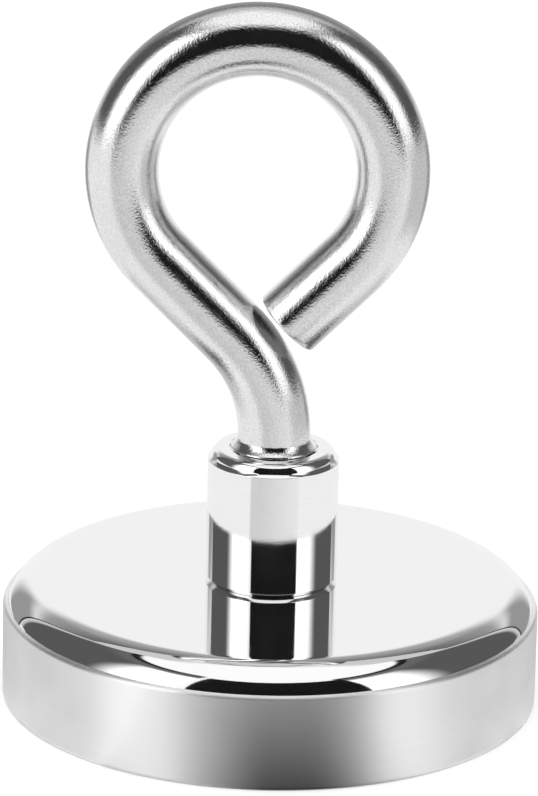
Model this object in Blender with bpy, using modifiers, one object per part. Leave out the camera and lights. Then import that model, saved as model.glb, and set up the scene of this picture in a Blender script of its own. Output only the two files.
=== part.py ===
"""A magnet for magnet fishing: a round pot magnet with a screwed collar and a bent-rod eyebolt.

The origin is on the pot's axis at the magnet face, which the part stands on, and +Z runs up through
the collar. The eye stands in the XZ plane. Every turned piece shares the Z axis.
"""

from math import atan2, cos, pi, radians, sin, tan

import bmesh
import bpy
from mathutils import Vector

MM = 0.001
GAP = 0.3 * MM  # left between pieces that touch on the real object

# Steel pot
POT_RADIUS = 37.5 * MM
POT_HEIGHT = 17.0 * MM
POT_RIM = (36.8 * MM, 13.5 * MM)  # radius and height of the edge where the polished shoulder starts
POT_SIDE_TOP = 12.9 * MM
POT_CROWN_RADIUS = 31.6 * MM  # where the flat top ends
FACE_CHAMFER = 0.4 * MM
CUP_RADIUS = 33.0 * MM
CUP_DEPTH = 10.6 * MM
POLE_RADIUS = 13.0 * MM

# Ring magnet, and the resin cast on both sides of it
MAGNET_OUTER = 31.4 * MM
MAGNET_INNER = 14.8 * MM
MAGNET_RECESS = 0.2 * MM
RESIN_RECESS = 0.4 * MM
EDGE_BREAK = 0.4 * MM

# Countersunk M10 screw, from the magnet face up into the collar
SCREW_RADIUS = 4.9 * MM
SCREW_TOP = 24.6 * MM
HEAD_RADIUS = 10.0 * MM
HEAD_RECESS = 0.6 * MM
HEAD_SLOPE = radians(45)
SOCKET_ACROSS_FLATS = 6.0 * MM
SOCKET_DEPTH = 4.5 * MM
CLEARANCE_BORE = 5.45 * MM
TIP_CHAMFER = 0.8 * MM

# Collar
COLLAR_RADIUS = 9.2 * MM
COLLAR_TOP = 36.3 * MM
COLLAR_RIM = (8.7 * MM, 35.1 * MM)
COLLAR_SIDE_TOP = 34.7 * MM
COLLAR_CROWN_RADIUS = 7.6 * MM
FOOT_CHAMFER = 0.6 * MM
MOUTH_CHAMFER = 0.5 * MM

# Eyebolt, bent from one rod
ROD_RADIUS = 5.1 * MM
THREAD_PITCH = 1.5 * MM
TURNS_ENGAGED = 6  # the travel of the thread before it leaves the collar
THREAD_TIP = COLLAR_TOP - MOUTH_CHAMFER - TURNS_ENGAGED * THREAD_PITCH
FLARE_RADIUS = 6.1 * MM
FLARE_HEIGHT = 1.0 * MM
EYE_RADIUS = 18.6 * MM  # to the middle of the rod
EYE_X = -3.1 * MM
EYE_Z = 76.2 * MM
LEG_SLOPE = radians(45)  # of both legs under the eye
NECK_BEND_RADIUS = 21.0 * MM
TAIL_LENGTH = 12.35 * MM
TAIL_CHAMFER = 0.5 * MM
POINT_SPACING = 3.2 * MM

LATHE_STEPS = 60
BORE_STEPS = 40
MERGE = 0.00001


def clear_scene():
    for obj in list(bpy.data.objects):
        bpy.data.objects.remove(obj, do_unlink=True)


def new_collection(name):
    collection = bpy.data.collections.new(name)
    bpy.context.scene.collection.children.link(collection)
    return collection


def material(name, colour, roughness, metallic):
    made = bpy.data.materials.new(name)
    made.use_nodes = True
    shader = made.node_tree.nodes["Principled BSDF"]
    shader.inputs["Base Color"].default_value = (*colour, 1.0)
    shader.inputs["Roughness"].default_value = roughness
    shader.inputs["Metallic"].default_value = metallic
    return made


def turned(name, profile, steps, surface, collection, closed=True):
    """Turns (radius, height) points about Z. They run down the piece's outer side."""
    mesh = bpy.data.meshes.new(name)
    points = [(radius, 0.0, height) for radius, height in profile]
    edges = [(i, i + 1) for i in range(len(points) - 1)]
    if closed:
        edges.append((len(points) - 1, 0))
    mesh.from_pydata(points, edges, [])
    mesh.materials.append(surface)
    piece = bpy.data.objects.new(name, mesh)
    collection.objects.link(piece)
    lathe = piece.modifiers.new("lathe", "SCREW")
    lathe.axis = "Z"
    lathe.steps = steps
    lathe.render_steps = steps
    lathe.use_merge_vertices = True
    lathe.merge_threshold = MERGE
    lathe.use_smooth_shade = True
    return piece


def shoulder(crown_radius, top, rim, steps):
    """An arc that leaves the flat top level and comes down to the rim."""
    width = rim[0] - crown_radius
    drop = top - rim[1]
    sweep = 2 * atan2(drop, width)
    radius = width / sin(sweep)
    turns = [sweep * i / steps for i in range(steps + 1)]
    return [(crown_radius + radius * sin(a), top - radius * (1 - cos(a))) for a in turns]


def steel_pot(surface, collection):
    countersink = HEAD_RADIUS + HEAD_RECESS / tan(HEAD_SLOPE) + GAP / sin(HEAD_SLOPE)
    profile = [(CLEARANCE_BORE, POT_HEIGHT)]
    profile += shoulder(POT_CROWN_RADIUS, POT_HEIGHT, POT_RIM, 6)
    profile += [
        (POT_RADIUS, POT_SIDE_TOP),
        (POT_RADIUS, FACE_CHAMFER),
        (POT_RADIUS - FACE_CHAMFER, 0),
        (CUP_RADIUS, 0),
        (CUP_RADIUS, CUP_DEPTH),
        (POLE_RADIUS, CUP_DEPTH),
        (POLE_RADIUS, 0),
        (countersink, 0),
        (CLEARANCE_BORE, (countersink - CLEARANCE_BORE) * tan(HEAD_SLOPE)),
    ]
    return turned("steel_pot", profile, LATHE_STEPS, surface, collection)


def ring(name, inner, outer, low, high, edge_break, surface, collection):
    """A ring whose lower edges, on the magnet face, are broken."""
    profile = [
        (inner, high),
        (outer, high),
        (outer, low + edge_break),
        (outer - edge_break, low),
        (inner + edge_break, low),
        (inner, low + edge_break),
    ]
    return turned(name, profile, LATHE_STEPS, surface, collection)


def ring_magnet(surface, collection):
    top = CUP_DEPTH - GAP
    return ring(
        "ring_magnet", MAGNET_INNER, MAGNET_OUTER, MAGNET_RECESS, top, EDGE_BREAK, surface, collection
    )


def potting_rings(surface, collection):
    top = CUP_DEPTH - GAP
    spaces = {
        "outer_potting_ring": (MAGNET_OUTER + GAP, CUP_RADIUS - GAP),
        "inner_potting_ring": (POLE_RADIUS + GAP, MAGNET_INNER - GAP),
    }
    for name, (inner, outer) in spaces.items():
        ring(name, inner, outer, RESIN_RECESS, top, GAP / 2, surface, collection)


def hexagon_cutter(across_flats, low, high, collection):
    corner_radius = across_flats / 2 / cos(pi / 6)
    middle = (low + high) / 2
    bpy.ops.mesh.primitive_cylinder_add(
        vertices=6, radius=corner_radius, depth=high - low, location=(0, 0, middle)
    )
    cutter = bpy.context.object
    cutter.name = "hex_socket_cutter"
    for owner in list(cutter.users_collection):
        owner.objects.unlink(cutter)
    collection.objects.link(cutter)
    cutter.hide_render = True
    cutter.display_type = "WIRE"
    return cutter


def centre_screw(surface, collection, cutters):
    neck_height = HEAD_RECESS + (HEAD_RADIUS - SCREW_RADIUS) * tan(HEAD_SLOPE)
    profile = [
        (0, SCREW_TOP),
        (SCREW_RADIUS - TIP_CHAMFER, SCREW_TOP),
        (SCREW_RADIUS, SCREW_TOP - TIP_CHAMFER),
        (SCREW_RADIUS, neck_height),
        (HEAD_RADIUS, HEAD_RECESS),
        (0, HEAD_RECESS),
    ]
    screw = turned("centre_screw", profile, BORE_STEPS, surface, collection, closed=False)
    below_head = HEAD_RECESS - SOCKET_DEPTH
    socket_end = HEAD_RECESS + SOCKET_DEPTH
    socket = hexagon_cutter(SOCKET_ACROSS_FLATS, below_head, socket_end, cutters)
    cut = screw.modifiers.new("hex socket", "BOOLEAN")
    cut.operation = "DIFFERENCE"
    cut.object = socket
    cut.solver = "EXACT"
    return screw


def threaded_collar(surface, collection):
    foot = POT_HEIGHT + GAP
    profile = [(CLEARANCE_BORE + MOUTH_CHAMFER, COLLAR_TOP)]
    profile += shoulder(COLLAR_CROWN_RADIUS, COLLAR_TOP, COLLAR_RIM, 4)
    profile += [
        (COLLAR_RADIUS, COLLAR_SIDE_TOP),
        (COLLAR_RADIUS, foot + FOOT_CHAMFER),
        (COLLAR_RADIUS - FOOT_CHAMFER, foot),
        (CLEARANCE_BORE, foot),
        (CLEARANCE_BORE, COLLAR_TOP - MOUTH_CHAMFER),
    ]
    return turned("threaded_collar", profile, BORE_STEPS, surface, collection)


def arc_points(centre, radius, start, end):
    """Points along an arc in the XZ plane, without its first one."""
    count = max(2, round(abs(end - start) * radius / POINT_SPACING))
    turns = [start + (end - start) * i / count for i in range(1, count + 1)]
    return [Vector((centre[0] + radius * cos(a), 0, centre[1] + radius * sin(a))) for a in turns]


def rod_route():
    """The middle of the rod as (point, rod radius), from the threaded tip to the cut tail."""
    seat = COLLAR_TOP + GAP
    eye = (EYE_X, EYE_Z)
    leg_reach = EYE_X - EYE_RADIUS * sin(LEG_SLOPE)
    leg_height = EYE_Z - EYE_RADIUS * cos(LEG_SLOPE)
    bend_start = leg_height + leg_reach - NECK_BEND_RADIUS * tan(LEG_SLOPE / 2)
    route = [
        (Vector((0, 0, THREAD_TIP)), SCREW_RADIUS - TIP_CHAMFER),
        (Vector((0, 0, THREAD_TIP + TIP_CHAMFER)), SCREW_RADIUS),
        (Vector((0, 0, seat)), SCREW_RADIUS),
        (Vector((0, 0, seat + MERGE)), FLARE_RADIUS),
        (Vector((0, 0, seat + FLARE_HEIGHT)), ROD_RADIUS),
    ]
    bend_centre = (-NECK_BEND_RADIUS, bend_start)
    path = arc_points(bend_centre, NECK_BEND_RADIUS, 0, LEG_SLOPE)
    leg_top = Vector((leg_reach, 0, leg_height))
    path.append((path[-1] + leg_top) / 2)
    path.append(leg_top)
    start = pi + LEG_SLOPE
    path += arc_points(eye, EYE_RADIUS, start, -LEG_SLOPE)
    down_the_tail = Vector((-cos(LEG_SLOPE), 0, -sin(LEG_SLOPE)))
    tail_start = path[-1]
    path.append(tail_start + down_the_tail * TAIL_LENGTH / 2)
    path.append(tail_start + down_the_tail * (TAIL_LENGTH - TAIL_CHAMFER))
    route += [(point, ROD_RADIUS) for point in path]
    route.append((tail_start + down_the_tail * TAIL_LENGTH, ROD_RADIUS - TAIL_CHAMFER))
    return route


def eyebolt(surface, collection):
    route = rod_route()
    curve = bpy.data.curves.new("eyebolt", "CURVE")
    curve.dimensions = "3D"
    curve.bevel_depth = ROD_RADIUS
    curve.bevel_resolution = 5
    curve.use_fill_caps = True
    curve.twist_mode = "MINIMUM"
    spline = curve.splines.new("POLY")
    spline.points.add(len(route) - 1)
    for point, (place, radius) in zip(spline.points, route):
        point.co = (*place, 1)
        point.radius = radius / ROD_RADIUS
    guide = bpy.data.objects.new("eyebolt_guide", curve)
    collection.objects.link(guide)
    bpy.context.view_layer.update()
    evaluated = guide.evaluated_get(bpy.context.evaluated_depsgraph_get())
    mesh = bpy.data.meshes.new_from_object(evaluated)
    mesh.name = "eyebolt"
    shell = bmesh.new()
    shell.from_mesh(mesh)
    bmesh.ops.remove_doubles(shell, verts=shell.verts, dist=MERGE / 10)
    bmesh.ops.recalc_face_normals(shell, faces=shell.faces)
    shell.to_mesh(mesh)
    shell.free()
    mesh.materials.clear()
    mesh.materials.append(surface)
    mesh.shade_smooth()
    mesh.set_sharp_from_angle(angle=radians(35))
    piece = bpy.data.objects.new("eyebolt", mesh)
    piece.matrix_world = guide.matrix_world
    collection.objects.link(piece)
    bpy.data.objects.remove(guide, do_unlink=True)
    return piece


clear_scene()
parts = new_collection("fishing_magnet")
cutters = new_collection("cutters")
chrome = material("polished_chrome", (0.86, 0.86, 0.87), 0.06, 1.0)
nickel = material("bright_nickel", (0.78, 0.77, 0.75), 0.18, 1.0)
zinc = material("bright_zinc", (0.80, 0.80, 0.81), 0.22, 1.0)
black_oxide = material("black_oxide_steel", (0.06, 0.06, 0.065), 0.45, 1.0)
resin = material("grey_resin", (0.16, 0.165, 0.17), 0.4, 0.0)
steel_pot(chrome, parts)
ring_magnet(nickel, parts)
potting_rings(resin, parts)
centre_screw(black_oxide, parts, cutters)
threaded_collar(chrome, parts)
eyebolt(zinc, parts)
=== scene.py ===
"""A magnet for magnet fishing, made piece by piece in the order it is put together.

The pot stands on its magnet face at the origin and everything is turned about the Z axis.
"""

from math import atan2, cos, degrees, hypot, pi, radians, sin, tan

import bmesh
import bpy
from mathutils import Matrix, Vector


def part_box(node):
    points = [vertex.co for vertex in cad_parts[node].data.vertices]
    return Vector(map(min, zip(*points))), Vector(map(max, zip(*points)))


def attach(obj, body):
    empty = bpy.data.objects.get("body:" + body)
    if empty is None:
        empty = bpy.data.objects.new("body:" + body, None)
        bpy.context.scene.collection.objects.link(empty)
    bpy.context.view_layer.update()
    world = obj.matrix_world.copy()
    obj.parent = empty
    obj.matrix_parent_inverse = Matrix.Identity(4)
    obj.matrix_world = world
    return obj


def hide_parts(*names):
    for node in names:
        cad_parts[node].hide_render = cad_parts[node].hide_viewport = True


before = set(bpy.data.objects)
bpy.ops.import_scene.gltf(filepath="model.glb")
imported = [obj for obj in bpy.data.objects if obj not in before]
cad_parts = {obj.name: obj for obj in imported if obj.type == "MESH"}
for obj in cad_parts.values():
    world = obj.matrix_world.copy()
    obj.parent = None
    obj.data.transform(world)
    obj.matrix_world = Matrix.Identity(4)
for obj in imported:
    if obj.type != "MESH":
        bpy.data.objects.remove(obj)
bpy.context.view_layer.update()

# ---- Steel pot ---------------------------------------------------------------------------------
# Low-carbon steel turned in one piece with its centre pole, then chromed. The top and its rounded
# shoulder are polished to a mirror, the side keeps its fine turned lines, and the face that clamps
# is ground flat.

MM = 0.001
MICRON = 0.001 * MM
pot_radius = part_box("steel_pot")[1].x
pot_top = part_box("steel_pot")[1].z
crown_radius = 31.6 * MM
rim_radius = 36.8 * MM
rim_height = 13.5 * MM
rim_roundness = 0.857
cup_radius = 33.0 * MM
cup_depth = 10.6 * MM
pole_radius = 13.0 * MM
countersink_radius = 11.02 * MM
screw_hole_radius = 5.45 * MM
pot_facets = 288
MIRROR, SATIN, GROUND = 0, 1, 2


def arc(centre, radius, start, end, steps, finish):
    """Points along an arc, as (radius, height, finish); the angles are from level, in degrees."""
    turns = [radians(start + (end - start) * i / steps) for i in range(steps + 1)]
    return [(centre[0] + radius * cos(a), centre[1] + radius * sin(a), finish) for a in turns]


def crowned_shoulder(inner, top, rim, rim_top, steps, finish):
    """The polished arc that leaves a flat top level and drops to the rim."""
    width, drop = rim - inner, top - rim_top
    sweep = 2 * atan2(drop, width)
    radius = width / sin(sweep)
    return arc((inner, top - radius), radius, 90, 90 - degrees(sweep), steps, finish)


def soft_corner(rim, rim_top, side, roundness, steps, finish):
    """The round from the rim out to an upright side: roundness is its height over its width."""
    out = side - rim
    reach = roundness * out
    radius = (out * out + reach * reach) / (2 * out)
    start = degrees(atan2(reach, radius - out))
    return arc((side - radius, rim_top - reach), radius, start, 0, steps, finish)


def rounded(corners, steps=5):
    """Rounds each (radius, height, rounding, finish) corner of a profile that closes on itself."""
    points = []
    for i, (radius, height, rounding, finish) in enumerate(corners):
        here = Vector((radius, height))
        if rounding == 0:
            points.append((radius, height, finish))
            continue
        back = (Vector(corners[i - 1][:2]) - here).normalized()
        ahead = (Vector(corners[(i + 1) % len(corners)][:2]) - here).normalized()
        half = back.angle(ahead) / 2
        centre = here + (back + ahead).normalized() * rounding / sin(half)
        start = here + back * rounding / tan(half) - centre
        end = here + ahead * rounding / tan(half) - centre
        sweep = start.angle_signed(end)
        for k in range(steps + 1):
            spoke = centre + Matrix.Rotation(-sweep * k / steps, 2) @ start
            points.append((spoke.x, spoke.y, finish))
    return points


def turned(name, profile, around, finishes):
    """Turns (radius, height, finish) points about Z. A radius may be a function of the angle.

    A profile that starts and ends on the axis makes a solid, and any other closes on itself.
    """
    shell = bmesh.new()
    angles = [2 * pi * k / around for k in range(around)]
    rings = []
    for radius, height, _ in profile:
        if radius == 0:
            rings.append([shell.verts.new((0, 0, height))] * around)
            continue
        reaches = [radius(a) if callable(radius) else radius for a in angles]
        rings.append([
            shell.verts.new((r * cos(a), r * sin(a), height)) for r, a in zip(reaches, angles)
        ])
    following = rings[1:] + ([] if profile[0][0] == 0 else rings[:1])
    for ring, after, (_, _, finish) in zip(rings, following, profile):
        for k in range(around):
            n = (k + 1) % around
            corners = list(dict.fromkeys([ring[k], after[k], after[n], ring[n]]))
            face = shell.faces.new(corners)
            face.material_index = finish
    return finished(name, shell, finishes)


def finished(name, shell, finishes, crease=28):
    """Makes the object: smooth, with true flats and with its creases kept."""
    bmesh.ops.recalc_face_normals(shell, faces=shell.faces)
    mesh = bpy.data.meshes.new(name)
    shell.to_mesh(mesh)
    shell.free()
    for finish in finishes:
        mesh.materials.append(finish)
    mesh.shade_smooth()
    mesh.set_sharp_from_angle(angle=radians(crease))
    piece = bpy.data.objects.new(name, mesh)
    bpy.context.scene.collection.objects.link(piece)
    flats = piece.modifiers.new("true flats", "WEIGHTED_NORMAL")
    flats.keep_sharp = True
    return piece


def node(tree, kind, **settings):
    """A new node of one kind, with its settings."""
    made = tree.nodes.new(kind)
    for key, value in settings.items():
        setattr(made, key, value)
    return made


def feed(tree, socket, value):
    """Joins a socket to another, or sets its number or colour."""
    if isinstance(value, bpy.types.NodeSocket):
        tree.links.new(value, socket)
    else:
        socket.default_value = value


def calc(tree, operation, *values):
    """The result of one sum."""
    made = node(tree, "ShaderNodeMath", operation=operation)
    for socket, value in zip(made.inputs, values):
        feed(tree, socket, value)
    return made.outputs[0]


def split_place(tree, name="Object"):
    """The x, y and z of a place on a piece, or of a direction in the tent."""
    split = node(tree, "ShaderNodeSeparateXYZ")
    tree.links.new(node(tree, "ShaderNodeTexCoord").outputs[name], split.inputs[0])
    return split.outputs


def from_axis(tree, x, y):
    """The distance from the upright axis."""
    squares = calc(tree, "ADD", calc(tree, "POWER", x, 2), calc(tree, "POWER", y, 2))
    return calc(tree, "SQRT", squares)


def blend(tree, share, low, high):
    """A colour between two."""
    made = node(tree, "ShaderNodeMix", data_type="RGBA")
    feed(tree, made.inputs["Factor"], share)
    feed(tree, made.inputs["A"], low)
    feed(tree, made.inputs["B"], high)
    return made.outputs["Result"]


def spread(tree, value, low, high, to_low, to_high, smooth=False):
    """A number brought from one range to another, and kept inside it."""
    made = node(tree, "ShaderNodeMapRange")
    if smooth:
        made.interpolation_type = "SMOOTHSTEP"
    for socket, given in zip(made.inputs, (value, low, high, to_low, to_high)):
        feed(tree, socket, given)
    return made.outputs["Result"]


def shader_group(name, inputs, outputs):
    """An empty group with its number inputs and outputs, and the two nodes that hold them."""
    group = bpy.data.node_groups.new(name, "ShaderNodeTree")
    for label, start in inputs.items():
        socket = group.interface.new_socket(label, in_out="INPUT", socket_type="NodeSocketFloat")
        socket.default_value = start
    for label in outputs:
        group.interface.new_socket(label, in_out="OUTPUT", socket_type="NodeSocketFloat")
    return group, group.nodes.new("NodeGroupInput"), group.nodes.new("NodeGroupOutput")


def placed(tree, group, **values):
    """A group's node in a material, with its own values: Line_Width stands for "Line Width"."""
    made = node(tree, "ShaderNodeGroup", node_tree=group)
    for label, value in values.items():
        made.inputs[label.replace("_", " ")].default_value = value
    return made


def turned_lines():
    """Fine rings left by the lathe tool: they follow height on a side and radius on a face."""
    group, given, put = shader_group(
        "turned_lines", {"Line Width": 0.1, "Fading": 3.0}, ["Height", "Tone"]
    )
    x, y, z = split_place(group)
    radius = calc(group, "MAXIMUM", from_axis(group, x, y), 0.1 * MM)
    along = calc(group, "MULTIPLY", calc(group, "ADD", radius, z), 1 / MM)
    along = calc(group, "DIVIDE", along, given.outputs["Line Width"])
    round_x = calc(group, "MULTIPLY", calc(group, "DIVIDE", x, radius), given.outputs["Fading"])
    round_y = calc(group, "MULTIPLY", calc(group, "DIVIDE", y, radius), given.outputs["Fading"])
    join = node(group, "ShaderNodeCombineXYZ")
    for socket, value in zip(join.inputs, (along, round_x, round_y)):
        group.links.new(value, socket)
    lines = node(group, "ShaderNodeTexNoise")
    lines.inputs["Scale"].default_value = 1.0
    lines.inputs["Detail"].default_value = 3.0
    lines.inputs["Roughness"].default_value = 0.6
    group.links.new(join.outputs[0], lines.inputs["Vector"])
    group.links.new(lines.outputs["Fac"], put.inputs["Height"])
    group.links.new(spread(group, lines.outputs["Fac"], 0.3, 0.7, 0.0, 1.0), put.inputs["Tone"])
    return group


def plating_grain():
    """The skin of a plated surface: fine pebbling, slow waves under it, and patches of haze."""
    group, given, put = shader_group(
        "plating_grain", {"Grain Size": 0.2, "Patch Size": 6.0, "Waves": 0.3}, ["Height", "Patch"]
    )
    place = node(group, "ShaderNodeTexCoord").outputs["Object"]
    noises = []
    for label, detail in (("Grain Size", 4.0), ("Patch Size", 3.0)):
        noise = node(group, "ShaderNodeTexNoise")
        group.links.new(place, noise.inputs["Vector"])
        scale = calc(group, "DIVIDE", 1 / MM, given.outputs[label])
        group.links.new(scale, noise.inputs["Scale"])
        noise.inputs["Detail"].default_value = detail
        noises.append(noise.outputs["Fac"])
    grain, patch = noises
    waves = calc(group, "MULTIPLY", patch, given.outputs["Waves"])
    group.links.new(calc(group, "ADD", grain, waves), put.inputs["Height"])
    group.links.new(spread(group, patch, 0.35, 0.68, 0.0, 1.0, smooth=True), put.inputs["Patch"])
    return group


def hairlines():
    """Sparse hair-thin scratches from handling, in two directions."""
    group, given, put = shader_group("hairlines", {"Spacing": 6.0, "Amount": 0.5}, ["Mask"])
    place = node(group, "ShaderNodeTexCoord").outputs["Object"]
    masks = []
    for turn in ((0.4, 0.3, 0.5), (1.2, -0.6, 2.1)):
        laid = node(group, "ShaderNodeMapping")
        laid.inputs["Rotation"].default_value = turn
        laid.inputs["Scale"].default_value = (1.0, 26.0, 26.0)
        group.links.new(place, laid.inputs["Vector"])
        noise = node(group, "ShaderNodeTexNoise")
        noise.inputs["Detail"].default_value = 1.0
        group.links.new(laid.outputs[0], noise.inputs["Vector"])
        scale = calc(group, "DIVIDE", 1 / MM, given.outputs["Spacing"])
        group.links.new(scale, noise.inputs["Scale"])
        near = calc(group, "ABSOLUTE", calc(group, "SUBTRACT", noise.outputs["Fac"], 0.62))
        masks.append(spread(group, near, 0.0, 0.012, 1.0, 0.0))
    both = calc(group, "MAXIMUM", *masks)
    group.links.new(calc(group, "MULTIPLY", both, given.outputs["Amount"]), put.inputs["Mask"])
    return group


LINES = turned_lines()
GRAIN = plating_grain()
HAIRLINES = hairlines()


def metal(name, metallic=1.0, roughness=0.3):
    """A new material: its tree, its Principled BSDF, and a Bump node that feeds the Normal."""
    made = bpy.data.materials.new(name)
    made.use_nodes = True
    tree = made.node_tree
    shader = tree.nodes["Principled BSDF"]
    shader.inputs["Metallic"].default_value = metallic
    shader.inputs["Roughness"].default_value = roughness
    bump = node(tree, "ShaderNodeBump")
    tree.links.new(bump.outputs[0], shader.inputs["Normal"])
    return made, tree, shader, bump


def mirror_chrome(name):
    """Polished chrome: a little haze in patches, faint polishing rings, and a few hairlines."""
    made, tree, shader, bump = metal(name)
    skin = placed(tree, GRAIN, Grain_Size=0.9, Patch_Size=9.0, Waves=0.0)
    rings = placed(tree, LINES, Line_Width=0.16, Fading=5.0)
    marks = placed(tree, HAIRLINES, Spacing=9.0, Amount=0.35)
    haze = spread(tree, skin.outputs["Patch"], 0.0, 1.0, 0.03, 0.055)
    scored = calc(tree, "MULTIPLY", marks.outputs["Mask"], 0.08)
    tree.links.new(calc(tree, "ADD", haze, scored), shader.inputs["Roughness"])
    feed(tree, shader.inputs["Base Color"], blend(
        tree, skin.outputs["Patch"], (0.918, 0.918, 0.922, 1), (0.908, 0.909, 0.914, 1)))
    tree.links.new(rings.outputs["Height"], bump.inputs["Height"])
    bump.inputs["Distance"].default_value = 0.6 * MICRON
    return made


def satin_chrome(name):
    """The turned side: rings too fine to see one by one, which draw each highlight out upright."""
    made, tree, shader, bump = metal(name)
    shader.inputs["Anisotropic"].default_value = 0.86
    shader.inputs["Anisotropic Rotation"].default_value = 0.25
    tangent = node(tree, "ShaderNodeTangent", direction_type="RADIAL", axis="Z")
    tree.links.new(tangent.outputs[0], shader.inputs["Tangent"])
    rings = placed(tree, LINES, Line_Width=0.11, Fading=2.0)
    skin = placed(tree, GRAIN, Grain_Size=0.5, Patch_Size=7.0, Waves=0.0)
    rough = spread(tree, skin.outputs["Patch"], 0.0, 1.0, 0.40, 0.44)
    tree.links.new(rough, shader.inputs["Roughness"])
    feed(tree, shader.inputs["Base Color"], blend(
        tree, rings.outputs["Tone"], (0.925, 0.925, 0.93, 1), (0.965, 0.965, 0.965, 1)))
    tree.links.new(rings.outputs["Height"], bump.inputs["Height"])
    bump.inputs["Distance"].default_value = 4 * MICRON
    return made


def ground_steel(name):
    """Ground bare steel with the arcs of the grinding wheel, a little duller than the plating."""
    made, tree, shader, bump = metal(name)
    rings = placed(tree, LINES, Line_Width=0.06, Fading=9.0)
    skin = placed(tree, GRAIN, Grain_Size=0.4, Patch_Size=5.0, Waves=0.0)
    feed(tree, shader.inputs["Base Color"], blend(
        tree, skin.outputs["Patch"], (0.56, 0.55, 0.54, 1), (0.46, 0.45, 0.43, 1)))
    rough = spread(tree, rings.outputs["Tone"], 0.0, 1.0, 0.26, 0.40)
    tree.links.new(rough, shader.inputs["Roughness"])
    tree.links.new(rings.outputs["Height"], bump.inputs["Height"])
    bump.inputs["Distance"].default_value = 8 * MICRON
    return made


pot_profile = [(screw_hole_radius, pot_top, MIRROR), (crown_radius - 0.4 * MM, pot_top, MIRROR)]
pot_profile += crowned_shoulder(crown_radius, pot_top, rim_radius, rim_height, 40, MIRROR)[:-1]
pot_profile += soft_corner(rim_radius, rim_height, pot_radius, rim_roundness, 12, SATIN)
pot_profile += rounded([
    (pot_radius, rim_height - 2 * MM, 0, SATIN),
    (pot_radius, 0.4 * MM, 0.3 * MM, SATIN),
    (pot_radius - 0.4 * MM, 0, 0.15 * MM, GROUND),
    (cup_radius, 0, 0.2 * MM, GROUND),
    (cup_radius, cup_depth, 0.5 * MM, GROUND),
    (pole_radius, cup_depth, 0.5 * MM, GROUND),
    (pole_radius, 0, 0.2 * MM, GROUND),
    (countersink_radius, 0, 0.15 * MM, GROUND),
    (screw_hole_radius, countersink_radius - screw_hole_radius, 0.1 * MM, GROUND),
    (screw_hole_radius, pot_top - 0.3 * MM, 0, GROUND),
])
pot = turned("pot", pot_profile, pot_facets, [
    mirror_chrome("pot_mirror"), satin_chrome("pot_turned_side"), ground_steel("pot_ground_face")
])
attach(pot, "pot")
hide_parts("steel_pot")

# ---- Ring magnet -------------------------------------------------------------------------------
# A sintered neodymium ring with tumbled edges, plated with nickel against rust. It sits in the cup
# a little below the rim.

magnet_low, magnet_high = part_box("ring_magnet")
magnet_bore = 14.8 * MM
ring_facets = 192


def bright_nickel(name):
    """Warm grey barrel plating over tumbled, slightly uneven edges."""
    made, tree, shader, bump = metal(name)
    skin = placed(tree, GRAIN, Grain_Size=0.25, Patch_Size=14.0, Waves=0.5)
    marks = placed(tree, HAIRLINES, Spacing=5.0, Amount=0.6)
    feed(tree, shader.inputs["Base Color"], blend(
        tree, skin.outputs["Patch"], (0.72, 0.69, 0.64, 1), (0.68, 0.65, 0.60, 1)))
    rough = spread(tree, skin.outputs["Patch"], 0.0, 1.0, 0.16, 0.26)
    scored = calc(tree, "MULTIPLY", marks.outputs["Mask"], 0.2)
    tree.links.new(calc(tree, "ADD", rough, scored), shader.inputs["Roughness"])
    tree.links.new(skin.outputs["Height"], bump.inputs["Height"])
    bump.inputs["Distance"].default_value = 10 * MICRON
    return made


magnet = turned("neodymium_ring", rounded([
    (magnet_bore, magnet_high.z, 0.5 * MM, 0),
    (magnet_high.x, magnet_high.z, 0.5 * MM, 0),
    (magnet_high.x, magnet_low.z, 0.6 * MM, 0),
    (magnet_bore, magnet_low.z, 0.6 * MM, 0),
]), ring_facets, [bright_nickel("magnet_nickel")])
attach(magnet, "pot")
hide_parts("ring_magnet")

# ---- Resin rings -------------------------------------------------------------------------------
# Grey epoxy poured on both sides of the magnet. It creeps up the metal as it sets, so its face is
# hollow, and a few small bubbles show in it.


def cast_resin(name):
    """Dark grey epoxy, a little cloudy, with small round bubbles open at its face."""
    made, tree, shader, bump = metal(name, metallic=0.0)
    skin = placed(tree, GRAIN, Grain_Size=0.6, Patch_Size=2.5, Waves=2.0)
    feed(tree, shader.inputs["Base Color"], blend(
        tree, skin.outputs["Patch"], (0.085, 0.088, 0.092, 1), (0.13, 0.132, 0.136, 1)))
    rough = spread(tree, skin.outputs["Patch"], 0.0, 1.0, 0.22, 0.36)
    tree.links.new(rough, shader.inputs["Roughness"])
    place = node(tree, "ShaderNodeTexCoord")
    cells = node(tree, "ShaderNodeTexVoronoi")
    cells.inputs["Scale"].default_value = 700
    tree.links.new(place.outputs["Object"], cells.inputs["Vector"])
    bubbles = spread(tree, cells.outputs["Distance"], 0.08, 0.16, -1.0, 0.0, smooth=True)
    tree.links.new(calc(tree, "ADD", bubbles, skin.outputs["Height"]), bump.inputs["Height"])
    bump.inputs["Distance"].default_value = 30 * MICRON
    return made


resin = cast_resin("potting_resin")
meniscus = 0.35 * MM
clearance = 0.02 * MM
for name, cad_node, inner, outer in (
    ("outer_resin_ring", "outer_potting_ring", magnet_high.x + clearance, cup_radius - clearance),
    ("inner_resin_ring", "inner_potting_ring", pole_radius + clearance, magnet_bore - clearance),
):
    low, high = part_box(cad_node)[0].z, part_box(cad_node)[1].z
    across = [i / 10 for i in range(11)]
    hollow = [(outer + (inner - outer) * a, low + meniscus * 4 * a * (1 - a), 0) for a in across]
    ring = turned(name, [(inner, high, 0), (outer, high, 0)] + hollow, ring_facets, [resin])
    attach(ring, "pot")
    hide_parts(cad_node)

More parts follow.
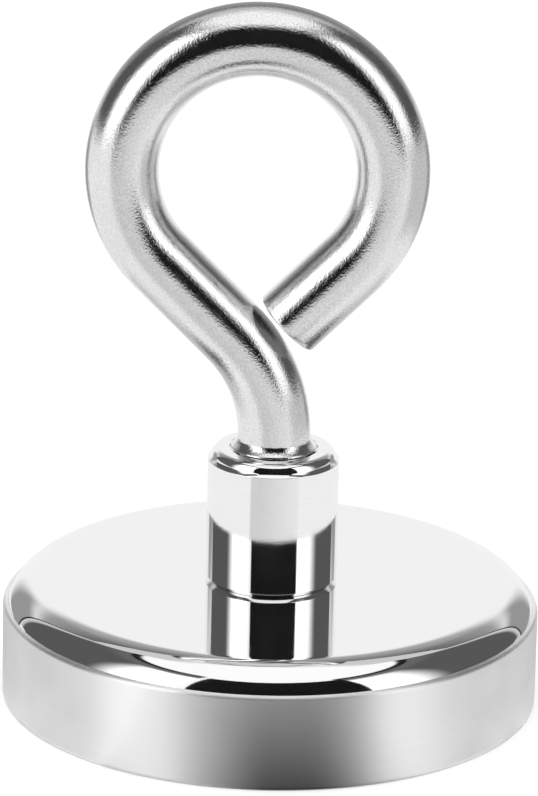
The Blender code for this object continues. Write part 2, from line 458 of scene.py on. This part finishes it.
# ---- Centre screw ------------------------------------------------------------------------------
# An M10 countersunk screw with a hexagon socket, rolled thread, blackened in hot salts and oiled.
# It goes up through the pole and pulls the collar down on the pot.

screw_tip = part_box("centre_screw")[1].z
head_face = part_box("centre_screw")[0].z
head_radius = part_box("centre_screw")[1].x
screw_radius = 4.9 * MM
pitch = 1.5 * MM
thread_depth = 0.9 * MM
across_flats = 6.0 * MM
socket_depth = 4.5 * MM
thread_facets = 72


def thread_form(height, angle, crest, depth):
    """The radius of a right-hand V thread at a height and an angle."""
    turn = (height / pitch - angle / (2 * pi)) % 1.0
    off_crest = abs(2 * turn - 1)
    return crest - depth * min(1.0, max(0.0, (off_crest - 0.125) / 0.625))


def thread_rings(low, high, crest, depth, finish, run_in, run_out):
    """Rings of a thread from low to high, fading in and out over the two runs."""
    rings = []
    count = max(1, round((high - low) / (pitch / 14)))
    for i in range(count + 1):
        height = low + (high - low) * i / count
        fade = 1.0
        if run_in:
            fade = min(fade, (height - low) / run_in)
        if run_out:
            fade = min(fade, (high - height) / run_out)
        rings.append((
            lambda a, z=height, f=fade: thread_form(z, a, crest, depth * f), height, finish
        ))
    return rings


def hexagon(angle, flats):
    """The radius of a hexagon at an angle."""
    return flats / 2 / cos((angle + pi / 6) % (pi / 3) - pi / 6)


def oiled_black(name):
    """Black oxide: brownish black, worn to grey steel where a key and a thread rub it."""
    made, tree, shader, bump = metal(name)
    skin = placed(tree, GRAIN, Grain_Size=0.12, Patch_Size=2.2, Waves=0.5)
    marks = placed(tree, HAIRLINES, Spacing=4.0, Amount=1.0)
    dark = blend(tree, skin.outputs["Patch"], (0.045, 0.043, 0.042, 1), (0.085, 0.08, 0.076, 1))
    feed(tree, shader.inputs["Base Color"], blend(
        tree, marks.outputs["Mask"], dark, (0.35, 0.34, 0.33, 1)))
    rough = spread(tree, skin.outputs["Patch"], 0.0, 1.0, 0.30, 0.46)
    tree.links.new(rough, shader.inputs["Roughness"])
    tree.links.new(skin.outputs["Height"], bump.inputs["Height"])
    bump.inputs["Distance"].default_value = 12 * MICRON
    return made


neck = head_face + head_radius - screw_radius
tip_chamfer = 0.9 * MM
socket = [
    (0, head_face + socket_depth + 1.2 * MM, 0),
    (across_flats / 2 * 0.94, head_face + socket_depth, 0),
    (lambda a: hexagon(a, across_flats), head_face + socket_depth, 0),
    (lambda a: hexagon(a, across_flats), head_face + 0.45 * MM, 0),
    (across_flats / 2 / cos(pi / 6) + 0.15 * MM, head_face, 0),
]
head = [
    (head_radius - 0.5 * MM, head_face, 0),
    (head_radius - 0.12 * MM, head_face + 0.08 * MM, 0),
    (head_radius, head_face + 0.25 * MM, 0),
    (head_radius - 0.15 * MM, head_face + 0.45 * MM, 0),
    (screw_radius + 0.3 * MM, neck, 0),
    (screw_radius, neck + 0.4 * MM, 0),
]
tip = [
    (screw_radius - tip_chamfer, screw_tip - 0.05 * MM, 0),
    (screw_radius - tip_chamfer - 0.2 * MM, screw_tip, 0),
    (0, screw_tip, 0),
]
screw_profile = socket + head
screw_profile += thread_rings(
    neck + 1.0 * MM, screw_tip - tip_chamfer, screw_radius, thread_depth, 0, 2 * MM, 0
)
screw = turned("centre_screw_m10", screw_profile + tip, thread_facets, [
    oiled_black("screw_black_oxide")
])
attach(screw, "pot")
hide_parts("centre_screw")

# ---- Collar ------------------------------------------------------------------------------------
# A round steel collar, threaded right through and chromed. Its outside still shows faint tool
# lines, and its mouth has a polished rounded lip.

collar_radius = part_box("threaded_collar")[1].x
collar_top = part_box("threaded_collar")[1].z
collar_foot = pot_top + clearance
lip_mouth = 6.3 * MM
lip_crown = 7.6 * MM
lip_reach = 1.1 * MM
lip_drop = 1.37 * MM
lip_foot = collar_top - 1.17 * MM
side_top = collar_top - 1.6 * MM
collar_bore = 5.12 * MM
collar_chamfer = 0.6 * MM


def collar_chrome(name):
    """Bright plating over a turned bar, whose tool lines still show through it."""
    made, tree, shader, bump = metal(name)
    skin = placed(tree, GRAIN, Grain_Size=0.5, Patch_Size=5.0, Waves=0.0)
    rings = placed(tree, LINES, Line_Width=0.14, Fading=4.0)
    haze = spread(tree, skin.outputs["Patch"], 0.0, 1.0, 0.04, 0.075)
    tree.links.new(haze, shader.inputs["Roughness"])
    feed(tree, shader.inputs["Base Color"], blend(
        tree, rings.outputs["Tone"], (0.895, 0.897, 0.90, 1), (0.935, 0.935, 0.94, 1)))
    tree.links.new(rings.outputs["Height"], bump.inputs["Height"])
    bump.inputs["Distance"].default_value = 1.6 * MICRON
    return made


def bare_bore(name):
    """The cut thread inside, which the plating hardly reaches."""
    made, tree, shader, bump = metal(name)
    skin = placed(tree, GRAIN, Grain_Size=0.2, Patch_Size=2.0, Waves=0.0)
    feed(tree, shader.inputs["Base Color"], blend(
        tree, skin.outputs["Patch"], (0.50, 0.49, 0.47, 1), (0.36, 0.35, 0.33, 1)))
    rough = spread(tree, skin.outputs["Patch"], 0.0, 1.0, 0.25, 0.4)
    tree.links.new(rough, shader.inputs["Roughness"])
    tree.links.new(skin.outputs["Height"], bump.inputs["Height"])
    bump.inputs["Distance"].default_value = 10 * MICRON
    return made


collar_profile = [(lip_mouth, collar_top, 0), (lip_crown - 0.1 * MM, collar_top, 0)]
collar_profile += [
    (lip_crown + lip_reach * cos(a), collar_top - lip_drop * (1 - sin(a)), 0)
    for a in (radians(90 - 80 * i / 24) for i in range(25))
]
collar_profile += rounded([
    (lip_crown + lip_reach, lip_foot, 0, 0),
    (collar_radius, side_top, 0.08 * MM, 0),
    (collar_radius, collar_foot + collar_chamfer, 0.12 * MM, 0),
    (collar_radius - collar_chamfer, collar_foot, 0.08 * MM, 0),
    (collar_bore + 0.5 * MM, collar_foot, 0, 1),
])
collar_profile += thread_rings(
    collar_foot + 0.5 * MM, collar_top - 0.9 * MM, collar_bore + 0.3 * MM, 0.3 * MM, 1, 0, 0
)
collar_profile += [(collar_bore + 0.4 * MM, collar_top - 0.7 * MM, 0)]
collar = turned("collar", collar_profile, ring_facets, [
    collar_chrome("collar_chrome"), bare_bore("collar_thread")
])
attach(collar, "collar")
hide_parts("threaded_collar")

# ---- Eyebolt -----------------------------------------------------------------------------------
# One drawn steel rod: an M10 thread is rolled on its end and a seat is upset above it, then the
# rod is bent back and round into an open eye and plated bright. The tail is sawn square.

rod_radius = 5.1 * MM
eye_radius = 18.6 * MM
eye_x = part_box("eyebolt")[0].x + eye_radius + rod_radius
eye_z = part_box("eyebolt")[1].z - eye_radius - rod_radius
leg_slope = radians(45)
neck_bend_radius = 21.0 * MM
tail_length = 12.35 * MM
thread_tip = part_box("eyebolt")[0].z
thread_crest = 4.92 * MM
undercut_radius = 4.75 * MM
seat = collar_top + clearance
seat_radius = 5.95 * MM
seat_edge = 0.3 * MM
seat_land = 0.08 * MM
flare_height = 1.45 * MM
flare_curve = 1.6
rod_facets = 80
ROD, CUT_END = 0, 1


def rod_line():
    """The rod's middle as (x, z, heading) from the seat up: heading is the angle of its run."""
    leg_x = eye_x - eye_radius * sin(leg_slope)
    leg_z = eye_z - eye_radius * cos(leg_slope)
    bend_z = leg_z + leg_x - neck_bend_radius * tan(leg_slope / 2)
    line = []

    def straight(x, z, heading, length, steps):
        for i in range(steps):
            reach = length * (i + 1) / steps
            line.append((x + reach * cos(heading), z + reach * sin(heading), heading))

    def bend(x, z, radius, start, sweep, steps):
        for i in range(steps):
            a = start + sweep * (i + 1) / steps
            heading = a + (pi / 2 if sweep > 0 else -pi / 2)
            line.append((x + radius * cos(a), z + radius * sin(a), heading))

    straight(0, seat + flare_height, pi / 2, bend_z - seat - flare_height, 2)
    bend(-neck_bend_radius, bend_z, neck_bend_radius, 0, leg_slope, 22)
    x, z, heading = line[-1]
    straight(x, z, heading, hypot(leg_x - x, leg_z - z), 10)
    bend(eye_x, eye_z, eye_radius, pi + leg_slope, -(pi + 2 * leg_slope), 150)
    x, z, heading = line[-1]
    straight(x, z, heading, tail_length, 12)
    return line


def rod_sections():
    """(x, z, heading, radius, finish) from the tip of the thread to the tail."""
    sections = []
    upright = pi / 2
    root = thread_crest - thread_depth
    relief = seat - 0.9 * MM
    sections += [(0, thread_tip, upright, r, ROD) for r in (0.0, root * 0.7)]
    sections.append((0, thread_tip + 0.15 * MM, upright, root - 0.1 * MM, ROD))
    for radius, height, _ in thread_rings(
        thread_tip + 0.4 * MM, relief, thread_crest, thread_depth, ROD, 0, 1.2 * MM
    ):
        lead = (height - thread_tip) / (1.0 * MM)
        taper = max(0.0, 1 - lead) * thread_depth
        sections.append((0, height, upright, lambda a, r=radius, t=taper: max(root, r(a) - t), ROD))
    sections += [
        (0, seat - 0.6 * MM, upright, undercut_radius, ROD),
        (0, seat - 0.05 * MM, upright, undercut_radius, ROD),
        (0, seat, upright, undercut_radius + 0.05 * MM, ROD),
        (0, seat, upright, seat_radius - 0.06 * MM, ROD),
    ]
    for a in (radians(45 * i / 8) for i in range(9)):
        edge_radius = seat_radius - seat_edge * (1 - cos(a))
        edge_height = seat_land + seat_edge * sin(a)
        sections.append((0, seat + edge_height, upright, edge_radius, ROD))
    for share in (i / 10 for i in range(1, 11)):
        height = seat + edge_height + (flare_height - edge_height) * share
        swell = (edge_radius - rod_radius) * (1 - share) ** flare_curve
        sections.append((0, height, upright, rod_radius + swell, ROD))
    line = rod_line()
    sections += [(x, z, heading, rod_radius, ROD) for x, z, heading in line[:-1]]
    x, z, heading = line[-1]
    for back, inset in ((0.4, 0.0), (0.25, 0.03), (0.12, 0.1), (0.03, 0.25), (0.0, 0.4)):
        sections.append((
            x - back * MM * cos(heading), z - back * MM * sin(heading), heading,
            rod_radius - inset * MM, ROD if back else CUT_END,
        ))
    sections.append((x, z, heading, 0.0, CUT_END))
    return sections


def swept(name, sections, around, finishes):
    """A rod through its sections. Its rings stay level with Y, so that the rod doesn't twist."""
    shell = bmesh.new()
    rings = []
    for x, z, heading, radius, _ in sections:
        if radius == 0:
            rings.append([shell.verts.new((x, 0, z))] * around)
            continue
        ring = []
        for k in range(around):
            a = 2 * pi * k / around
            reach = radius(a) if callable(radius) else radius
            side, depth = reach * cos(a), reach * sin(a)
            ring.append(shell.verts.new((x + side * sin(heading), depth, z - side * cos(heading))))
        rings.append(ring)
    for ring, after, section in zip(rings, rings[1:], sections[1:]):
        for k in range(around):
            n = (k + 1) % around
            face = shell.faces.new(list(dict.fromkeys([ring[k], after[k], after[n], ring[n]])))
            face.material_index = section[4]
    return finished(name, shell, finishes)


def bright_rod(name):
    """Bright plating over drawn wire, with a fine pebbled grain that roughens each bright edge."""
    made, tree, shader, bump = metal(name)
    skin = placed(tree, GRAIN, Grain_Size=0.26, Patch_Size=7.0, Waves=0.3)
    marks = placed(tree, HAIRLINES, Spacing=7.0, Amount=0.5)
    speck = spread(tree, skin.outputs["Height"], 0.45, 0.95, 0.0, 1.0)
    feed(tree, shader.inputs["Base Color"], blend(
        tree, speck, (0.74, 0.74, 0.74, 1), (0.94, 0.94, 0.945, 1)))
    rough = spread(tree, skin.outputs["Patch"], 0.0, 1.0, 0.06, 0.10)
    scored = calc(tree, "MULTIPLY", marks.outputs["Mask"], 0.08)
    tree.links.new(calc(tree, "ADD", rough, scored), shader.inputs["Roughness"])
    tree.links.new(skin.outputs["Height"], bump.inputs["Height"])
    bump.inputs["Distance"].default_value = 34 * MICRON
    return made


def sawn_end(name):
    """The cut tail: plated over the saw's straight marks."""
    made, tree, shader, bump = metal(name)
    place = node(tree, "ShaderNodeTexCoord")
    laid = node(tree, "ShaderNodeMapping")
    laid.inputs["Scale"].default_value = (1.0, 0.06, 1.0)
    tree.links.new(place.outputs["Object"], laid.inputs["Vector"])
    cuts = node(tree, "ShaderNodeTexNoise")
    cuts.inputs["Scale"].default_value = 4200
    cuts.inputs["Detail"].default_value = 2.0
    tree.links.new(laid.outputs[0], cuts.inputs["Vector"])
    feed(tree, shader.inputs["Base Color"], blend(
        tree, cuts.outputs["Fac"], (0.26, 0.26, 0.26, 1), (0.40, 0.40, 0.40, 1)))
    rough = spread(tree, cuts.outputs["Fac"], 0.3, 0.7, 0.2, 0.34)
    tree.links.new(rough, shader.inputs["Roughness"])
    tree.links.new(cuts.outputs["Fac"], bump.inputs["Height"])
    bump.inputs["Distance"].default_value = 10 * MICRON
    return made


eyebolt = swept("open_eyebolt", rod_sections(), rod_facets, [
    bright_rod("eyebolt_bright_plating"), sawn_end("eyebolt_sawn_end")
])
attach(eyebolt, "eyebolt")
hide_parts("eyebolt")

# ---- Studio ------------------------------------------------------------------------------------
# A plain pale floor in a white tent with grey side walls. A tall curved black flag stands in front
# and a lit card close behind: bright metal needs them to show its shape. The flag casts no shadow:
# its shade on the floor is painted into a glow that only the metal sees, deepest in front of the
# pot.

floor_size = 12.0
flag_distance = 600 * MM
flag_height = 940 * MM
flag_left, flag_right = -36, 44
flag_steps = 24
card_width = 300 * MM
card_height = 211 * MM
card_distance = 100 * MM
lamp_height = 1.6
lamp_size = 1.6
lamp_watts = 22.0
camera_place = (-5.0 * MM, -750.4 * MM, 293.7 * MM)
camera_pitch, camera_yaw, camera_roll = radians(18.45), radians(0.32), radians(1.22)
camera_lens = 258.0


def soft_panel():
    """1 inside a patch of the tent's wall, and 0 outside it; all in degrees."""
    group, given, put = shader_group("soft_panel", {
        "Bearing": 0.0, "Elevation": 0.0, "From": 0.0, "To": 90.0, "Bottom": 0.0, "Top": 90.0,
        "Softness": 2.0, "Top Softness": 2.0,
    }, ["Mask"])
    read = given.outputs

    def step(value, edge, soft):
        low = calc(group, "SUBTRACT", edge, soft)
        return spread(group, value, low, calc(group, "ADD", edge, soft), 0.0, 1.0, smooth=True)

    def until(value, edge, soft):
        return calc(group, "SUBTRACT", 1.0, step(value, edge, soft))

    across = calc(group, "MULTIPLY",
                  step(read["Bearing"], read["From"], read["Softness"]),
                  until(read["Bearing"], read["To"], read["Softness"]))
    above = step(read["Elevation"], read["Bottom"], read["Softness"])
    below = until(read["Elevation"], read["Top"], read["Top Softness"])
    mask = calc(group, "MULTIPLY", calc(group, "MULTIPLY", across, above), below)
    group.links.new(mask, put.inputs["Mask"])
    return group


def bearing(tree, x, y):
    """Degrees round from the front: right is above 0 and left is below it."""
    round_about = calc(tree, "ARCTAN2", x, calc(tree, "MULTIPLY", y, -1.0))
    return calc(tree, "MULTIPLY", round_about, degrees(1))


def white_tent():
    """The tent as the metal sees it: white, with soft grey panels on its walls and roof."""
    world = bpy.data.worlds.new("white_tent")
    world.use_nodes = True
    tree = world.node_tree
    x, y, z = split_place(tree, "Generated")
    around = calc(tree, "ABSOLUTE", bearing(tree, x, y))
    up = calc(tree, "MULTIPLY", calc(tree, "ARCSINE", z), degrees(1))
    panel = soft_panel()
    front_corner = spread(tree, x, -0.2, 0.1, 1.6, 1.3)
    side_wall = calc(tree, "MAXIMUM",
                     spread(tree, around, 65, 86, front_corner, 0.095, smooth=True),
                     spread(tree, around, 129, 133, 0.0, 0.6, smooth=True))
    walls = [
        ("upper gap", 0.13, dict(From=41, To=131, Bottom=-90, Top=61, Softness=1, Top_Softness=1)),
        ("sides", side_wall, dict(From=41, To=200, Bottom=-90, Top=53, Softness=1, Top_Softness=3)),
        ("high back", 0.6, dict(From=131, To=400, Bottom=50, Top=68, Softness=3, Top_Softness=4)),
        ("seam", 0.01, dict(From=44, To=131, Bottom=58.5, Top=61, Softness=0.5, Top_Softness=0.5)),
    ]
    light = 1.0
    for label, value, patch in walls:
        mask = placed(tree, panel, **patch)
        mask.label = label
        tree.links.new(around, mask.inputs["Bearing"])
        tree.links.new(up, mask.inputs["Elevation"])
        mix = node(tree, "ShaderNodeMix", data_type="FLOAT")
        feed(tree, mix.inputs["Factor"], mask.outputs[0])
        feed(tree, mix.inputs["A"], light)
        feed(tree, mix.inputs["B"], value)
        light = mix.outputs["Result"]
    tent = tree.nodes["Background"]
    tree.links.new(light, tent.inputs["Color"])
    tent.inputs["Strength"].default_value = 1.06
    backdrop = node(tree, "ShaderNodeBackground")
    backdrop.inputs["Color"].default_value = (1, 1, 1, 1)
    choose = node(tree, "ShaderNodeMixShader")
    tree.links.new(node(tree, "ShaderNodeLightPath").outputs["Is Camera Ray"], choose.inputs[0])
    tree.links.new(tent.outputs[0], choose.inputs[1])
    tree.links.new(backdrop.outputs[0], choose.inputs[2])
    tree.links.new(choose.outputs[0], tree.nodes["World Output"].inputs["Surface"])
    bpy.context.scene.world = world


def back_card():
    """The card's light: white at its foot and grey above, dimmer at both sides, with dark edges."""
    made = bpy.data.materials.new("back_card")
    made.use_nodes = True
    tree = made.node_tree
    tree.nodes.remove(tree.nodes["Principled BSDF"])
    x, _, z = split_place(tree)
    out = calc(tree, "ABSOLUTE", x)
    foot = spread(tree, z, 76 * MM, 110 * MM, 0.95, 0.42, smooth=True)
    head = spread(tree, z, 110 * MM, 180 * MM, 0.0, 0.20)
    side = spread(tree, z, 58 * MM, 85 * MM, 0.34, 0.80, smooth=True)
    light = calc(tree, "MULTIPLY", calc(tree, "SUBTRACT", foot, head),
                 spread(tree, out, 66 * MM, 92 * MM, 1.0, side, smooth=True))
    edges = calc(tree, "MULTIPLY",
                 spread(tree, out, card_width / 2 - 6 * MM, card_width / 2 - 4 * MM, 1, 0),
                 spread(tree, z, card_height - 8 * MM, card_height - 5 * MM, 1, 0))
    light = calc(tree, "MULTIPLY", light, edges)
    glow = node(tree, "ShaderNodeEmission")
    tree.links.new(light, glow.inputs["Color"])
    tree.links.new(glow.outputs[0], tree.nodes["Material Output"].inputs["Surface"])
    return made


def black_felt():
    """Matt black felt, which sends almost no light back."""
    made = bpy.data.materials.new("black_felt")
    made.use_nodes = True
    tree = made.node_tree
    felt = tree.nodes["Principled BSDF"]
    felt.inputs["Roughness"].default_value = 1.0
    felt.inputs["Specular IOR Level"].default_value = 0.0
    fluff = node(tree, "ShaderNodeTexNoise")
    fluff.inputs["Scale"].default_value = 300.0
    feed(tree, felt.inputs["Base Color"], blend(
        tree, fluff.outputs["Fac"], (0.004, 0.004, 0.004, 1), (0.012, 0.012, 0.012, 1)))
    return made


def floor_with_painted_shade():
    """White board for the camera and the lamps.

    The metal sees a glow of painted shade instead: the flag's shade, deepest in front of the pot,
    and dimmer at both flanks near the pot and far out to the right.
    """
    white, grey, deepest = 0.93, 0.66, 0.03
    made = bpy.data.materials.new("floor_with_painted_shade")
    made.use_nodes = True
    tree = made.node_tree
    paint = tree.nodes["Principled BSDF"]
    paint.inputs["Base Color"].default_value = (white, white, white, 1)
    paint.inputs["Roughness"].default_value = 0.9
    x, y, _ = split_place(tree)
    side = bearing(tree, x, y)
    away = from_axis(tree, x, y)
    # Painted shade: the flag casts no shadow, so its shade across its span is painted here, lighter
    # to the right.
    left_edge = spread(tree, side, flag_left - 3, flag_left, white, 0.68, smooth=True)
    rightward = spread(tree, side, -20, 60, 0.0, 0.25)
    right_edge = spread(tree, side, flag_right - 4, flag_right, 0.0, white, smooth=True)
    painted_flag_shade = calc(tree, "MINIMUM", calc(tree, "ADD", left_edge, rightward), white)
    painted_flag_shade = calc(tree, "MAXIMUM", painted_flag_shade, right_edge)
    # Painted shade: a deep dark patch on the floor just in front of the pot.
    open_left = spread(tree, side, -24, 1, 1.0, 0.0, smooth=True)
    open_right = spread(tree, side, 9, 38, 0.0, 1.0, smooth=True)
    open_front = spread(tree, y, -72 * MM, -62 * MM, 1.0, 0.0, smooth=True)
    lit = calc(tree, "MAXIMUM", calc(tree, "MAXIMUM", open_left, open_right), open_front)
    shade = calc(tree, "MULTIPLY", painted_flag_shade, spread(tree, lit, 0.0, 1.0, deepest, 1.0))
    # Painted shade: dimmer at both flanks close to the pot, and far out to the right.
    flanks = spread(tree, calc(tree, "ABSOLUTE", side), 75, 120, 1.0, grey)
    flanks = calc(tree, "MAXIMUM", flanks, spread(tree, away, 60 * MM, 75 * MM, 0.0, 1.0))
    right = spread(tree, side, 48, 62, 1.0, grey, smooth=True)
    right = calc(tree, "MAXIMUM", right, spread(tree, away, 110 * MM, 170 * MM, 1.0, 0.0))
    shade = calc(tree, "MULTIPLY", shade, calc(tree, "MULTIPLY", flanks, right))
    # The floor glows with this painted light and shade, and only the metal sees it; the camera sees
    # plain white paint.
    seen = node(tree, "ShaderNodeEmission")
    tree.links.new(shade, seen.inputs["Color"])
    choose = node(tree, "ShaderNodeMixShader")
    tree.links.new(node(tree, "ShaderNodeLightPath").outputs["Is Glossy Ray"], choose.inputs[0])
    tree.links.new(paint.outputs[0], choose.inputs[1])
    tree.links.new(seen.outputs[0], choose.inputs[2])
    tree.links.new(choose.outputs[0], tree.nodes["Material Output"].inputs["Surface"])
    return made


def board(name, shell, finish, seen=True):
    """A studio board. One that isn't seen shows only in the metal, and casts no shadow."""
    mesh = bpy.data.meshes.new(name)
    shell.to_mesh(mesh)
    shell.free()
    mesh.materials.append(finish)
    made = bpy.data.objects.new(name, mesh)
    made.visible_camera = seen
    made.visible_diffuse = seen
    made.visible_shadow = seen
    bpy.context.scene.collection.objects.link(made)
    return made


white_tent()
floor_shell = bmesh.new()
bmesh.ops.create_grid(floor_shell, x_segments=2, y_segments=2, size=floor_size / 2)
floor = board("floor", floor_shell, floor_with_painted_shade())

flag_shell = bmesh.new()
flag_posts = []
for i in range(flag_steps + 1):
    a = radians(flag_left + (flag_right - flag_left) * i / flag_steps)
    post = (flag_distance * sin(a), -flag_distance * cos(a))
    flag_posts.append([flag_shell.verts.new((*post, height)) for height in (0, flag_height)])
for (low, high), (next_low, next_high) in zip(flag_posts, flag_posts[1:]):
    flag_shell.faces.new([low, next_low, next_high, high])
flag = board("front_flag", flag_shell, black_felt(), seen=False)

card_shell = bmesh.new()
card_corners = [(-card_width / 2, 0, 0), (card_width / 2, 0, 0),
                (card_width / 2, 0, card_height), (-card_width / 2, 0, card_height)]
card_shell.faces.new([card_shell.verts.new(corner) for corner in card_corners])
card = board("back_card", card_shell, back_card(), seen=False)
card.location = (0, card_distance, 0)

lamp = bpy.data.lights.new("overhead_softbox", "AREA")
lamp.shape = "DISK"
lamp.size = lamp_size
lamp.energy = lamp_watts
softbox = bpy.data.objects.new("overhead_softbox", lamp)
softbox.location = (0, 0, lamp_height)
softbox.visible_glossy = False
softbox.visible_camera = False
bpy.context.scene.collection.objects.link(softbox)

camera = bpy.data.cameras.new("camera")
camera.lens = camera_lens
camera.clip_start = 0.01
camera.clip_end = 50.0
stand = bpy.data.objects.new("camera", camera)
forward = Vector((
    sin(camera_yaw) * cos(camera_pitch), cos(camera_yaw) * cos(camera_pitch), -sin(camera_pitch)
))
level = Vector((cos(camera_yaw), -sin(camera_yaw), 0))
upward = level.cross(forward)
right = level * cos(camera_roll) + upward * sin(camera_roll)
top = upward * cos(camera_roll) - level * sin(camera_roll)
axes = Matrix((right, top, -forward)).transposed()
stand.matrix_world = Matrix.Translation(camera_place) @ axes.to_4x4()
bpy.context.scene.collection.objects.link(stand)
bpy.context.scene.camera = stand
bpy.context.scene.view_settings.view_transform = "Standard"
